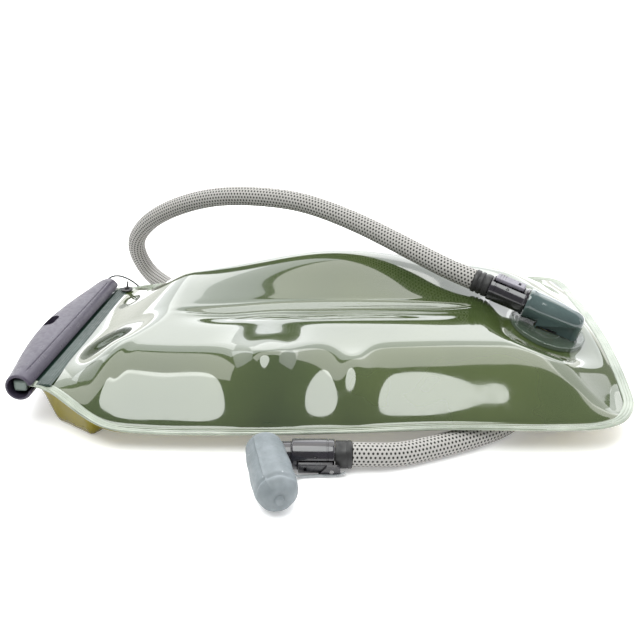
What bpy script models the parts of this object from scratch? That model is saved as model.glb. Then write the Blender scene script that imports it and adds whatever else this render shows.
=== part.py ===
"""Hydration bladder: a welded film bag shut by a slide-on closure bar, with a quick-connect port,
a sleeved drinking hose and a covered bite valve. X runs along the bag from the closure to the port,
Y from the front edge to the rear edge, Z up, and the bag lies on the floor at Z = 0."""

import math

import bmesh
import bpy
import numpy as np
from mathutils import Matrix, Vector

MM = 0.001  # every length below is in millimetres

# Films
FILM = 0.6
WELD_GAP = 0.3
WELD_WIDTH = 5.0
MOUTH_BAND = 9.0
BAG_COLUMNS = 38
BAG_ROWS = 22

# Closure: the line of the bead and the slider, from the front end to the rear end
CLOSURE_FRONT = Vector((-163.0, -68.0, 27.0))
CLOSURE_REAR = Vector((-151.0, 88.0, 18.0))
SLIDER_RADIUS = 7.5
SLIDER_BORE = 6.1
SLIDER_SLOT = 3.6
SLIDER_ARCH = 8.5
BEAD_WIDTH = 7.4
BEAD_HEIGHT = 6.6
HANG_HOLE_LONG = 15.0
HANG_HOLE_WIDE = 7.5

# Port: its place on the upper film, the heading of its bore, and its slope
PORT_BASE = Vector((135.0, -3.0, 32.0))
PORT_AXIS = Vector((-1.0, 0.4, 0.3)).normalized()
PORT_HEIGHT = 12.0
PORT_MOUTH = 17.0
FLANGE_RADIUS = 23.0
PORT_HOLE = 8.6

# Plug and hose
PLUG_RADIUS = 7.65
HOSE_DIAMETER = 12.6
PLUG_END = 50.6

# Drinking end
VALVE_Y = -100.5
VALVE_Z = 8.6
VALVE_BODY_X = (8.5, -13.4)
COVER_REAR = Vector((-28.4, -97.0, 11.3))
COVER_AXIS = Vector((0.238, -0.971, 0.0)).normalized()
COVER_RADIUS = 10.9

# The bag's edge, from the mouth round to the end: x, y and the height of the weld
FRONT_EDGE = [
    (-158, -65, 27), (-150, -66, 26), (-137, -74, 22), (-125, -82, 18), (-112, -87, 14),
    (-90, -88, 12), (-30, -88, 12), (17, -87, 13), (69, -86, 15), (125, -86, 15),
    (150, -85, 16), (163, -79, 17), (171, -66, 19),
]
REAR_EDGE = [
    (-147, 85, 18), (-138, 86, 18), (-120, 90, 19), (-95, 95, 20), (-50, 97, 22),
    (0, 98, 24), (60, 98, 24), (110, 98, 24), (148, 97, 24), (161, 95, 24), (168, 87, 24),
]
END_EDGE = [(171, -66, 19), (174, -35, 20), (175, 5, 22), (173, 45, 23), (168, 87, 24)]

# From the middle that the lists use to the middle of the bag with its slider
ORIGIN_SHIFT = Vector((-0.7, -5.0, 0.0))

# Where the hose lies free on the floor and in the air, from the plug to the drinking end
HOSE_ROUTE = [
    (73, 23, 63), (48, 39, 71), (17, 58, 80), (-15, 74, 86), (-49, 86, 86), (-78, 97, 81),
    (-108, 111, 68), (-129, 124, 52), (-140, 133, 35), (-139, 138, 19), (-132, 136, 8.5),
    (-122, 125, 6.5), (-104, 104, 6.4), (-80, 80, 6.4), (-45, 55, 6.4), (-5, 36, 6.4),
    (35, 24, 6.4), (70, 17, 6.4), (98, 4, 6.4), (115, -18, 6.4), (116, -44, 6.4),
    (103, -66, 6.4), (82, -80, 6.4), (58, -91, 6.4), (42, -97.5, 6.8), (27, -100.4, 8.4),
]

# The slider's tether, from the slider's rear end to the eyelet
TETHER_ROUTE = [
    (-151.9, 89.3, 23.4), (-149.5, 93.5, 23.8), (-145, 97, 22.6), (-138, 101, 17.1),
    (-133.4, 104, 10.6), (-130.5, 106, 5.5), (-129.5, 108, 2.0), (-131.5, 111, 0.8),
    (-138, 113, 0.8), (-148, 108, 0.8), (-148, 99, 0.8), (-139, 95, 1.0), (-130, 101, 1.6),
    (-133, 109, 3.0), (-142, 108, 3.2), (-143, 100, 6), (-140, 94, 14), (-138, 89, 21.5),
    (-137, 84.5, 22.8), (-136.6, 81, 21.8), (-136.5, 79.2, 19.4),
]
TETHER_DIAMETER = 1.2
EYELET_AT = (-136.5, 79.0)


# --- Scene helpers ---------------------------------------------------------------------------

for old in list(bpy.data.objects):
    bpy.data.objects.remove(old, do_unlink=True)

parts = bpy.data.collections.new("hydration_bladder")
cutters = bpy.data.collections.new("cutters")
for collection in (parts, cutters):
    bpy.context.scene.collection.children.link(collection)
cutters.hide_render = True


def material(name, colour, roughness, metallic=0.0, alpha=1.0):
    """A Principled material, made once per name."""
    found = bpy.data.materials.get(name)
    if found:
        return found
    made = bpy.data.materials.new(name)
    made.use_nodes = True
    shader = made.node_tree.nodes["Principled BSDF"]
    shader.inputs["Base Color"].default_value = (*colour, 1.0)
    shader.inputs["Roughness"].default_value = roughness
    shader.inputs["Metallic"].default_value = metallic
    shader.inputs["Alpha"].default_value = alpha
    return made


def add(name, data, look=None, frame=None, cutter=False, smooth=False):
    """Links an object with this mesh or curve, in metres."""
    obj = bpy.data.objects.new(name, data)
    if cutter:
        cutters.objects.link(obj)
        obj.hide_render = True
        obj.display_type = "WIRE"
    else:
        parts.objects.link(obj)
        data.materials.append(material(name, *look))
    if frame is not None:
        obj.matrix_world = frame
    if smooth:
        for polygon in data.polygons:
            polygon.use_smooth = True
    return obj


def frame_at(origin, z_axis, x_hint):
    """A frame in metres whose Z runs along z_axis, with X as near x_hint as it can be."""
    z = Vector(z_axis).normalized()
    x = Vector(x_hint)
    x = (x - z * x.dot(z)).normalized()
    y = z.cross(x)
    matrix = Matrix((x, y, z)).transposed().to_4x4()
    matrix.translation = Vector(origin) * MM
    return matrix


def turned(name, profile, frame, look=None, steps=32, cutter=False, ring=False):
    """A turned solid about the frame's Z. The profile lists (radius, height), top to bottom."""
    mesh = bpy.data.meshes.new(name)
    points = [(r * MM, 0.0, z * MM) for r, z in profile]
    count = len(points)
    edges = [(i, i + 1) for i in range(count - 1)]
    if ring:
        edges.append((count - 1, 0))
    mesh.from_pydata(points, edges, [])
    obj = add(name, mesh, look, frame, cutter)
    screw = obj.modifiers.new("Turn", "SCREW")
    screw.axis = "Z"
    screw.angle = math.tau
    screw.steps = steps
    screw.render_steps = steps
    screw.use_merge_vertices = True
    screw.merge_threshold = 0.00001
    screw.use_smooth_shade = True
    return obj


def box(name, size, frame, look=None, centre=(0, 0, 0), bevel=0.0, cutter=False, segments=2):
    """A box of this size about a centre given in the frame."""
    mesh = bpy.data.meshes.new(name)
    bm = bmesh.new()
    bmesh.ops.create_cube(bm, size=1.0)
    for vert in bm.verts:
        for axis in range(3):
            vert.co[axis] = (vert.co[axis] * size[axis] + centre[axis]) * MM
    bm.to_mesh(mesh)
    bm.free()
    obj = add(name, mesh, look, frame, cutter)
    if bevel:
        edge = obj.modifiers.new("Round", "BEVEL")
        edge.width = bevel * MM
        edge.segments = segments
    return obj


def boolean(obj, other, operation="DIFFERENCE"):
    step = obj.modifiers.new(operation.title() + "_" + other.name, "BOOLEAN")
    step.solver = "EXACT"
    step.operation = operation
    step.object = other
    return step


def rod(name, points, diameter, look, sides=2):
    """A tube along a polyline, with filled ends."""
    curve = bpy.data.curves.new(name, "CURVE")
    curve.dimensions = "3D"
    spline = curve.splines.new("POLY")
    spline.points.add(len(points) - 1)
    for point, place in zip(spline.points, points):
        point.co = (place[0] * MM, place[1] * MM, place[2] * MM, 1.0)
    curve.bevel_depth = diameter * MM / 2
    curve.bevel_resolution = sides
    curve.use_fill_caps = True
    spline.use_smooth = True
    return add(name, curve, look)


# --- Smooth curves ---------------------------------------------------------------------------

def smooth_curve(route, samples):
    """Points evenly spaced along a centripetal Catmull-Rom curve through the route."""
    route = np.array(route, float)
    ends = np.vstack([2 * route[0] - route[1], route, 2 * route[-1] - route[-2]])
    dense = []
    for i in range(1, len(ends) - 2):
        a, b, c, d = ends[i - 1:i + 3]
        knots = np.cumsum([0] + [max(np.linalg.norm(q - p), 1e-6) ** 0.5
                                 for p, q in ((a, b), (b, c), (c, d))])
        for t in np.linspace(knots[1], knots[2], 24, endpoint=False):
            ab = a + (b - a) * (t - knots[0]) / (knots[1] - knots[0])
            bc = b + (c - b) * (t - knots[1]) / (knots[2] - knots[1])
            cd = c + (d - c) * (t - knots[2]) / (knots[3] - knots[2])
            abc = ab + (bc - ab) * (t - knots[0]) / (knots[2] - knots[0])
            bcd = bc + (cd - bc) * (t - knots[1]) / (knots[3] - knots[1])
            dense.append(abc + (bcd - abc) * (t - knots[1]) / (knots[2] - knots[1]))
    dense.append(route[-1])
    dense = np.array(dense)
    along = np.concatenate([[0], np.cumsum(np.linalg.norm(np.diff(dense, axis=0), axis=1))])
    at = samples * along[-1] if isinstance(samples, np.ndarray) else \
        np.linspace(0, along[-1], samples)
    return np.stack([np.interp(at, along, dense[:, k]) for k in range(dense.shape[1])], axis=1)


def smoothstep(t):
    t = np.clip(t, 0.0, 1.0)
    return t * t * (3 - 2 * t)


# --- Frames of the closure, the port and the drinking end --------------------------------------

closure_along = (CLOSURE_REAR - CLOSURE_FRONT).normalized()
closure_length = (CLOSURE_REAR - CLOSURE_FRONT).length
closure_bagward = (Vector((1, 0, 0)) - closure_along * closure_along.x).normalized()
closure_frame = frame_at(CLOSURE_FRONT, closure_along, closure_bagward)

port_side = Vector((0.371, 0.928, 0.0)).normalized()
port_normal = port_side.cross(PORT_AXIS).normalized()
if port_normal.z < 0:
    port_normal = -port_normal
flange_frame = frame_at(PORT_BASE, port_normal, PORT_AXIS)
bore_frame = frame_at(PORT_BASE + port_normal * PORT_HEIGHT, PORT_AXIS, port_normal)

valve_origin = Vector((0.0, VALVE_Y, VALVE_Z))
valve_frame = frame_at(valve_origin, (1, 0, 0), (0, -0.92, -0.39))
cover_frame = frame_at(COVER_REAR, COVER_AXIS, (0, 0, 1))


# --- Bag films -------------------------------------------------------------------------------

hose_start = PORT_BASE + port_normal * PORT_HEIGHT + PORT_AXIS * (PLUG_END + 0.7)
hose_end = Vector((17.7, VALVE_Y, VALVE_Z))
hose_run_in = hose_start + PORT_AXIS * 9
hose_points = smooth_curve(
    [tuple(hose_start), tuple(hose_run_in)] + HOSE_ROUTE + [tuple(hose_end)], 54)


def coons(u, v):
    """The weld surface stretched over the bag's four edges: x, y and height at (u, v)."""
    front = smooth_curve(FRONT_EDGE, np.asarray(u))
    rear = smooth_curve(REAR_EDGE, np.asarray(u))
    end = smooth_curve(END_EDGE, np.asarray(v))
    near, far = np.array(FRONT_EDGE[0], float), np.array(REAR_EDGE[0], float)
    mouth = near + np.asarray(v)[:, None] * (far - near)
    uu = np.asarray(u)[:, None, None]
    vv = np.asarray(v)[None, :, None]
    sides = (1 - vv) * front[:, None] + vv * rear[:, None]
    ends = (1 - uu) * mouth[None] + uu * end[None]
    corners = ((1 - uu) * ((1 - vv) * near + vv * far)
               + uu * ((1 - vv) * front[-1] + vv * rear[-1]))
    return sides + ends - corners


def edge_distance(x, y):
    """Distance in plan from the front, rear and end welds."""
    fine = np.linspace(0, 1, 160)
    edge = np.vstack([smooth_curve(FRONT_EDGE, fine), smooth_curve(END_EDGE, fine),
                      smooth_curve(REAR_EDGE, fine)])
    gaps = np.hypot(x[..., None] - edge[:, 0], y[..., None] - edge[:, 1])
    return gaps.min(axis=-1)


def mouth_distance(x, y):
    """Distance in plan from the line of the closure."""
    along = np.array(closure_along[:2])
    across = np.array([along[1], -along[0]]) / np.linalg.norm(along)
    return (x - CLOSURE_FRONT.x) * across[0] + (y - CLOSURE_FRONT.y) * across[1]


def upper_height(x, y, weld):
    """The lower face of the upper film: a pillow with a rear lobe, a lengthways crease,
    a ridge above the bite valve, and a flat seat under the port."""
    inset = np.clip((edge_distance(x, y) - WELD_WIDTH) / 46, 0, 1)
    side = np.sin(np.pi / 2 * inset) ** 0.85
    opening = smoothstep((mouth_distance(x, y) - MOUTH_BAND) / 62)
    rise = (24.0
            + 16.0 * np.exp(-((x - 12) / 78) ** 2 - ((y - 48) / 34) ** 2)
            - 4.0 * np.exp(-((y + 7) / 8) ** 2) * smoothstep((95 - abs(x)) / 30)
            + 6.0 * np.exp(-((x + 27) / 16) ** 2 - ((y + 60) / 26) ** 2)
            - 8.0 * smoothstep((x - 60) / 80))
    height = weld + WELD_GAP / 2 + rise * side * opening
    away = np.hypot(x - PORT_BASE.x, y - PORT_BASE.y)
    seat = (PORT_BASE.z - (port_normal.x * (x - PORT_BASE.x) + port_normal.y * (y - PORT_BASE.y))
            / port_normal.z)
    share = 1 - smoothstep((away - 26) / 24)
    edge_share = smoothstep((edge_distance(x, y) - WELD_WIDTH) / 9)
    return height + (seat - height) * share * edge_share


def lower_height(x, y, weld):
    """The upper face of the lower film: flat on the floor, lifted at its welds and by the hose."""
    side = smoothstep((edge_distance(x, y) - WELD_WIDTH) / 24)
    opening = smoothstep((mouth_distance(x, y) - MOUTH_BAND) / 48)
    down = side * opening
    height = (weld - WELD_GAP / 2) * (1 - down) + FILM * down
    floor_points = hose_points[hose_points[:, 2] < 12]
    hose_line = smooth_curve(floor_points, 260)
    gaps = np.hypot(x[..., None] - hose_line[:, 0], y[..., None] - hose_line[:, 1]).min(axis=-1)
    hump = (HOSE_DIAMETER + 1.6) * smoothstep((26 - gaps) / 17)
    return np.minimum(np.maximum(height, hump + FILM * (gaps < 26)), weld - WELD_GAP / 2)


def film(name, height_of, offset, look):
    """A film: a grid over the bag's outline at its own heights, thickened away from the inside."""
    u = np.concatenate([[0.0, 0.016], np.linspace(0.034, 0.985, BAG_COLUMNS - 3), [1.0]])
    v = np.concatenate([[0.0, 0.028], np.linspace(0.062, 0.938, BAG_ROWS - 4), [0.972, 1.0]])
    grid = coons(u, v)
    x, y, weld = grid[..., 0], grid[..., 1], grid[..., 2]
    z = height_of(x, y, weld)
    mesh = bpy.data.meshes.new(name)
    bm = bmesh.new()
    rows = [[bm.verts.new((x[i, j] * MM, y[i, j] * MM, z[i, j] * MM)) for j in range(len(v))]
            for i in range(len(u))]
    for i in range(len(u) - 1):
        for j in range(len(v) - 1):
            bm.faces.new((rows[i][j], rows[i + 1][j], rows[i + 1][j + 1], rows[i][j + 1]))
    bm.to_mesh(mesh)
    bm.free()
    obj = add(name, mesh, look, smooth=True)
    shell = obj.modifiers.new("Thickness", "SOLIDIFY")
    shell.thickness = FILM * MM
    shell.offset = offset
    return obj


upper_film = film("upper_film", upper_height, 1.0, ((0.10, 0.15, 0.07), 0.12, 0.0, 0.85))
lower_film = film("lower_film", lower_height, -1.0, ((0.12, 0.15, 0.05), 0.15, 0.0, 0.85))

port_hole = turned("port_hole_cutter", [(0, 8), (PORT_HOLE, 8), (PORT_HOLE, -8), (0, -8)],
                   flange_frame, cutter=True)
boolean(upper_film, port_hole)

eyelet_weld = 18.6
eyelet_frame = frame_at((*EYELET_AT, eyelet_weld), (0, 0, 1), (1, 0, 0))
eyelet_hole = turned("eyelet_hole_cutter", [(0, 9), (2.9, 9), (2.9, -9), (0, -9)],
                     eyelet_frame, cutter=True, steps=20)
boolean(upper_film, eyelet_hole)
boolean(lower_film, eyelet_hole)

METAL = ((0.55, 0.56, 0.58), 0.35, 1.0)
turned("tether_eyelet", [(3.9, 2.1), (3.9, 1.4), (2.6, 1.4), (2.6, -1.4), (3.9, -1.4),
                         (3.9, -2.1), (1.6, -2.1), (1.6, 2.1)],
       eyelet_frame, ((0.10, 0.12, 0.12), 0.4), steps=20, ring=True)


# --- Closure bead and slider ------------------------------------------------------------------

bead_frame = closure_frame
box("closure_bead", (BEAD_WIDTH, BEAD_HEIGHT, closure_length - 5), bead_frame,
    ((0.16, 0.20, 0.18), 0.35), centre=(0, 0, closure_length / 2), bevel=1.2)


def slider_body():
    """The slider's outer shape: a round bar whose back arches out towards the middle."""
    mesh = bpy.data.meshes.new("closure_slider")
    bm = bmesh.new()
    stations = [(0.0, 0.93), (0.8, 1.0), (8, 1.0), (20, 1.0), (36, 1.0), (52, 1.0), (66, 1.0),
                (78.5, 1.0), (91, 1.0), (105, 1.0), (121, 1.0), (137, 1.0), (148, 1.0),
                (153, 0.985), (155.6, 0.94), (closure_length, 0.86)]
    rings = []
    for along, scale in stations:
        middle = 2 * along / closure_length - 1
        arch = SLIDER_ARCH * max(0.0, 1 - middle * middle) ** 1.3
        ring = []
        for k in range(40):
            angle = math.tau * k / 40
            out = math.cos(angle)
            x = -(SLIDER_RADIUS * out + arch * max(0.0, out) ** 0.6) * scale
            y = SLIDER_RADIUS * math.sin(angle) * scale
            ring.append(bm.verts.new((x * MM, y * MM, along * MM)))
        rings.append(ring)
    for low, high in zip(rings, rings[1:]):
        for k in range(40):
            bm.faces.new((low[k], low[k - 1], high[k - 1], high[k]))
    bm.faces.new(rings[0])
    bm.faces.new(list(reversed(rings[-1])))
    bmesh.ops.recalc_face_normals(bm, faces=bm.faces)
    bm.to_mesh(mesh)
    bm.free()
    return add("closure_slider", mesh, ((0.11, 0.10, 0.13), 0.32), closure_frame, smooth=True)


slider = slider_body()
boolean(slider, turned("slider_bore_cutter", [(0, 170), (SLIDER_BORE, 170), (SLIDER_BORE, -10),
                                              (0, -10)], closure_frame, cutter=True))
boolean(slider, box("slider_slot_cutter", (12, SLIDER_SLOT, 190), closure_frame,
                    centre=(6 + 2.0, 0, 78), cutter=True))
hole_frame = frame_at(CLOSURE_FRONT + closure_along * (closure_length / 2)
                      - closure_bagward * 11.4, closure_bagward.cross(closure_along),
                      closure_along)
hang = box("hanging_hole_cutter", (HANG_HOLE_LONG, HANG_HOLE_WIDE, 30), hole_frame, cutter=True)
hang_round = hang.modifiers.new("Round", "BEVEL")
hang_round.width = HANG_HOLE_WIDE * 0.49 * MM
hang_round.segments = 5
hang_round.limit_method = "WEIGHT"
hang_edges = hang.data.attributes.new("bevel_weight_edge", "FLOAT", "EDGE")
for edge in hang.data.edges:
    ends = [hang.data.vertices[i].co for i in edge.vertices]
    upright = abs(ends[0].z - ends[1].z) > 10 * MM
    hang_edges.data[edge.index].value = 1.0 if upright else 0.0
boolean(slider, hang)


# --- Port -------------------------------------------------------------------------------------

TEAL = ((0.045, 0.085, 0.085), 0.22)
base = FILM + 0.3
turned("port_flange", [(FLANGE_RADIUS - 0.4, base + 2.4), (FLANGE_RADIUS, base + 1.9),
                       (FLANGE_RADIUS, base), (8.2, base), (8.2, -2.2), (6.2, -2.2),
                       (6.2, base + 1.6), (20.6, base + 1.6), (21.2, base + 2.4)],
       flange_frame, ((0.06, 0.10, 0.09), 0.2), steps=40, ring=True)

deck = base + 1.6 + 0.3
seal_low = deck + 0.1
cowl = turned("port_cowl", [(0, PORT_MOUTH), (8.7, PORT_MOUTH), (9.1, PORT_MOUTH - 0.4),
                            (9.1, PORT_MOUTH - 2.2), (8.8, PORT_MOUTH - 2.8), (8.5, 2),
                            (7.2, -9), (6.4, -14), (5.2, -16.6), (3.2, -18), (0, -18.4)],
              bore_frame, TEAL)
foot = turned("cowl_foot", [(0, PORT_HEIGHT), (7.0, PORT_HEIGHT), (7.0, deck), (0, deck)],
              frame_at(PORT_BASE - PORT_AXIS * 3, port_normal, PORT_AXIS), cutter=True)
tail = box("cowl_tail", (4.0, 9.6, PORT_HEIGHT - deck), flange_frame,
           centre=(-15.0, 0, (PORT_HEIGHT + deck) / 2), bevel=0.8, cutter=True)
boolean(cowl, foot, "UNION")
boolean(cowl, tail, "UNION")
boolean(cowl, turned("cowl_bore_cutter", [(0, 20), (5.4, 20), (5.4, 1.0), (4.8, 0.4),
                                          (4.8, -12), (0, -12)], bore_frame, cutter=True))
boolean(cowl, turned("cowl_passage_cutter", [(0, PORT_HEIGHT), (3.6, PORT_HEIGHT), (3.6, deck - 3),
                                             (0, deck - 3)],
                     frame_at(PORT_BASE - PORT_AXIS * 3, port_normal, PORT_AXIS), cutter=True,
                     steps=20))
boolean(cowl, turned("cowl_seal_cutter", [(5.9, deck + 1.1), (5.9, deck - 1), (4.3, deck - 1),
                                          (4.3, deck + 1.1)],
                     frame_at(PORT_BASE - PORT_AXIS * 3, port_normal, PORT_AXIS), cutter=True,
                     ring=True, steps=24))
turned("port_seal_ring", [(5.6, deck + 0.8), (5.6, deck), (4.6, deck), (4.6, deck + 0.8)],
       frame_at(PORT_BASE - PORT_AXIS * 3, port_normal, PORT_AXIS), ((0.02, 0.02, 0.02), 0.6),
       steps=24, ring=True)

turned("port_poppet", [(0, 2.1), (4.2, 2.1), (4.4, 1.6), (4.4, 0.9), (1.3, 0.5), (1.3, -8.6),
                       (0, -9.2)], bore_frame, ((0.5, 0.5, 0.48), 0.4), steps=24)
coil = []
for k in range(61):
    turn = math.tau * 5 * k / 60
    place = bore_frame @ Vector((3.2 * math.cos(turn) * MM, 3.2 * math.sin(turn) * MM,
                                 (-11.2 + 11.2 * k / 60) * MM))
    coil.append(tuple(place / MM))
rod("port_spring", coil, 0.7, METAL, sides=1)


# --- Quick connectors -------------------------------------------------------------------------

BLACK = ((0.018, 0.016, 0.022), 0.16)
MATTE_BLACK = ((0.02, 0.02, 0.02), 0.55)


def release_lever(prefix, host, frame, middle, look):
    """A rocking lever let into the host along the frame's Z, on the side that its X points to.
    It rocks on a cross pin; the host gets a pocket and the pin's cross bore."""
    boolean(host, box(prefix + "_pocket_cutter", (6.0, 8.8, 19.0), frame,
                      centre=(3.6 + 3.0, 0, middle), cutter=True))
    rocker_frame = frame @ Matrix.Translation((5.0 * MM, 0, middle * MM))
    pin_frame = rocker_frame @ Matrix.Rotation(math.radians(-90), 4, "X")
    boolean(host, turned(prefix + "_cross_bore_cutter", [(0, 5.9), (0.95, 5.9), (0.95, -5.9),
                                                         (0, -5.9)],
                         pin_frame, cutter=True, steps=12))
    plate = box(prefix + "_release_lever", (2.2, 8.0, 18.0), rocker_frame, look,
                centre=(3.0, 0, 0), bevel=0.7)
    lug = box(prefix + "_lug_cutter", (3.6, 4.4, 3.4), rocker_frame, centre=(0.7, 0, 0),
              bevel=0.5, cutter=True)
    boolean(plate, lug, "UNION")
    boolean(plate, turned(prefix + "_lever_bore_cutter", [(0, 6), (0.95, 6), (0.95, -6), (0, -6)],
                          pin_frame, cutter=True, steps=12))
    boolean(plate, box(prefix + "_slot_cutter", (8, 3.2, 1.6), rocker_frame,
                       centre=(4, 0, -5.2), cutter=True))
    turned(prefix + "_lever_pin", [(0, 5.4), (0.7, 5.4), (0.7, -5.4), (0, -5.4)], pin_frame,
           METAL, steps=12)


m = PORT_MOUTH
plug = turned("plug_body", [
    (2.4, m + 33.0), (3.9, m + 33.0), (4.3, m + 30.5), (3.7, m + 30.2), (4.3, m + 27.6),
    (3.7, m + 27.3), (3.7, m + 23.6), (PLUG_RADIUS - 0.6, m + 23.6), (PLUG_RADIUS, m + 23.0),
    (PLUG_RADIUS, m + 2.2), (8.2, m + 1.9), (8.2, m + 0.6), (7.9, m + 0.3), (4.9, m + 0.3),
    (4.9, m - 7.0), (3.9, m - 7.0), (3.9, m - 9.0), (4.9, m - 9.0), (4.9, m - 13.6),
    (4.3, m - 14.5), (2.4, m - 14.5)], bore_frame, BLACK, steps=40, ring=True)
release_lever("plug", plug, bore_frame, m + 13.0, ((0.20, 0.18, 0.22), 0.3))
turned("plug_o_ring", [(5.15, m - 7.4), (5.15, m - 8.6), (4.1, m - 8.6), (4.1, m - 7.4)],
       bore_frame, ((0.03, 0.03, 0.03), 0.6), steps=24, ring=True)
turned("plug_collar", [
    (6.4, m + 33.6), (6.9, m + 33.1), (6.9, m + 31.6), (6.3, m + 31.2), (6.3, m + 30.4),
    (6.9, m + 30.0), (6.9, m + 28.6), (6.3, m + 28.2), (6.3, m + 27.4), (6.9, m + 27.0),
    (6.9, m + 24.3), (6.5, m + 23.9), (4.7, m + 23.9), (4.7, m + 33.6)],
    bore_frame, MATTE_BLACK, steps=40, ring=True)

hose = rod("drinking_hose", [tuple(p) for p in hose_points], HOSE_DIAMETER,
           ((0.42, 0.41, 0.39), 0.85), sides=3)

high, low = VALVE_BODY_X
turned("valve_collar", [(6.7, high + 8.4), (7.2, high + 7.9), (7.2, high + 1.0),
                        (6.9, high + 0.3), (4.6, high + 0.3), (4.6, high + 8.4)],
       valve_frame, MATTE_BLACK, steps=36, ring=True)
connector = turned("valve_connector", [
    (2.4, high + 7.6), (3.9, high + 7.6), (4.2, high + 5.0), (3.7, high + 4.8), (3.7, high),
    (7.5, high), (8.0, high - 0.5), (8.0, low + 0.6), (7.5, low), (5.9, low), (5.9, low + 6.2),
    (2.4, low + 6.2)], valve_frame, BLACK, steps=40, ring=True)
release_lever("valve", connector, valve_frame, -1.2, ((0.03, 0.028, 0.035), 0.25))

elbow = turned("valve_elbow", [(2.4, low + 5.6), (4.9, low + 5.6), (4.9, low + 3.9),
                               (3.9, low + 3.9), (3.9, low + 2.1), (4.9, low + 2.1),
                               (4.9, low - 0.3), (6.6, low - 0.3), (6.6, low - 7.0),
                               (2.4, low - 7.0)],
               valve_frame, BLACK, steps=32, ring=True)
barrel = turned("elbow_barrel_cutter", [(0, 12.6), (6.9, 12.6), (7.1, 12.2), (7.1, 1.4),
                                        (6.6, 0.6), (0, 0.6)], cover_frame, cutter=True)
boolean(elbow, barrel, "UNION")
boolean(elbow, turned("elbow_core_cutter", [(0, 13.6), (3.0, 13.6), (3.0, 2.6), (0, 2.6)],
                      cover_frame, cutter=True, steps=24))
turned("swivel_o_ring", [(5.3, low + 3.5), (5.3, low + 2.5), (4.1, low + 2.5), (4.1, low + 3.5)],
       valve_frame, ((0.03, 0.03, 0.03), 0.6), steps=24, ring=True)

turned("twist_sleeve", [(3.2, 21.0), (6.6, 21.0), (6.9, 20.6), (6.9, 13.4), (6.6, 12.95),
                        (3.2, 12.95)], cover_frame, ((0.25, 0.27, 0.28), 0.4), ring=True)
turned("bite_valve", [(0, 41.0), (3.6, 40.6), (5.2, 39.0), (5.9, 36.5), (6.4, 26.0), (6.9, 24.0),
                      (6.9, 21.5), (6.6, 21.3), (0, 21.3)],
       cover_frame, ((0.35, 0.50, 0.55), 0.45))

cover = turned("valve_cover", [
    (0, 48.2), (1.5, 48.1), (1.7, 47.5), (3.5, 47.2), (7.0, 45.6), (9.4, 42.6),
    (COVER_RADIUS - 0.3, 38.5), (COVER_RADIUS, 33.0), (COVER_RADIUS, 12.0),
    (COVER_RADIUS - 0.5, 6.0), (9.7, 2.2), (8.5, 0.0), (7.5, 0.0), (8.3, 2.6), (9.3, 6.8),
    (9.4, 12.0), (9.4, 33.0), (8.9, 38.0), (7.6, 41.8), (5.2, 44.4), (0, 45.6)],
    cover_frame, ((0.24, 0.27, 0.29), 0.6), steps=36)
side_notch = box("cover_notch_cutter", (14.6, 14.0, 31.0), cover_frame,
                 centre=(VALVE_Z - COVER_REAR.z, -(7.0 + 2.0), -1.6), cutter=True, bevel=2.0)
boolean(cover, side_notch)

strap_route = [(-12.4, -111.6, 4.2), (-10.5, -110.6, 2.1), (-6, -109.4, 1.3), (0, -108.8, 1.3),
               (6, -108.6, 1.3), (11, -108.2, 1.5), (14, -107.8, 2.6)]
rod("cover_strap", smooth_curve(strap_route, 12), 1.6, ((0.45, 0.48, 0.50), 0.6))

tether_path = smooth_curve(TETHER_ROUTE, 72)
rod("tether_cord", tether_path, TETHER_DIAMETER, ((0.02, 0.02, 0.02), 0.7), sides=2)

# The origin goes under the middle of the bag with its slider, on the floor.
for obj in bpy.data.objects:
    obj.location += ORIGIN_SHIFT * MM
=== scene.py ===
import math

import bmesh
import bpy
import numpy as np
from mathutils import Matrix, Vector


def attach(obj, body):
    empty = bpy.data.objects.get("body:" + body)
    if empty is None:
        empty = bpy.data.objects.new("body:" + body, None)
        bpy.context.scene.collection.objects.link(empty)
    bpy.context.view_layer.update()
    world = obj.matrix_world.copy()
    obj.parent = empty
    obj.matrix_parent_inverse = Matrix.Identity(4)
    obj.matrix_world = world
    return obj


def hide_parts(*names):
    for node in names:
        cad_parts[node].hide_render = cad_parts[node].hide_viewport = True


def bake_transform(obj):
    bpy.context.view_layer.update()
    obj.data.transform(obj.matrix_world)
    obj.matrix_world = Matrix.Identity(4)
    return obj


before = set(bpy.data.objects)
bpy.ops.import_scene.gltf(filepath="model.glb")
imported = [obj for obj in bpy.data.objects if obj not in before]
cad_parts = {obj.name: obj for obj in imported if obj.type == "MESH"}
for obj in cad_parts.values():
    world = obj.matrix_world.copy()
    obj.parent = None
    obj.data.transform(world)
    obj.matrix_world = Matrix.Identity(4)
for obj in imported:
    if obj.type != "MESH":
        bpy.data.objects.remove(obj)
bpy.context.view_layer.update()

MM = 0.001  # lengths below are in millimetres unless they go straight to Blender
SHIFT = Vector((-0.7, -5.0, 0.0))  # from the lists' middle to the model's origin

# --- The part's own dimensions, as its CAD has them ------------------------------------------

CLOSURE_FRONT = Vector((-163.0, -68.0, 27.0))
CLOSURE_REAR = Vector((-151.0, 88.0, 18.0))
PORT_BASE = Vector((135.0, -3.0, 32.0))
PORT_AXIS = Vector((-1.0, 0.4, 0.3)).normalized()
PORT_HEIGHT = 12.0
PORT_MOUTH = 17.0
HOSE_DIAMETER = 12.6
VALVE_Y = -100.5
VALVE_Z = 8.6
VALVE_RIGHT, VALVE_LEFT = 8.5, -13.4
COVER_REAR = Vector((-28.4, -97.0, 11.3))
COVER_AXIS = Vector((0.238, -0.971, 0.0)).normalized()
FILM = 0.6
WELD_GAP = 0.3
WELD_WIDTH = 5.0

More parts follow.
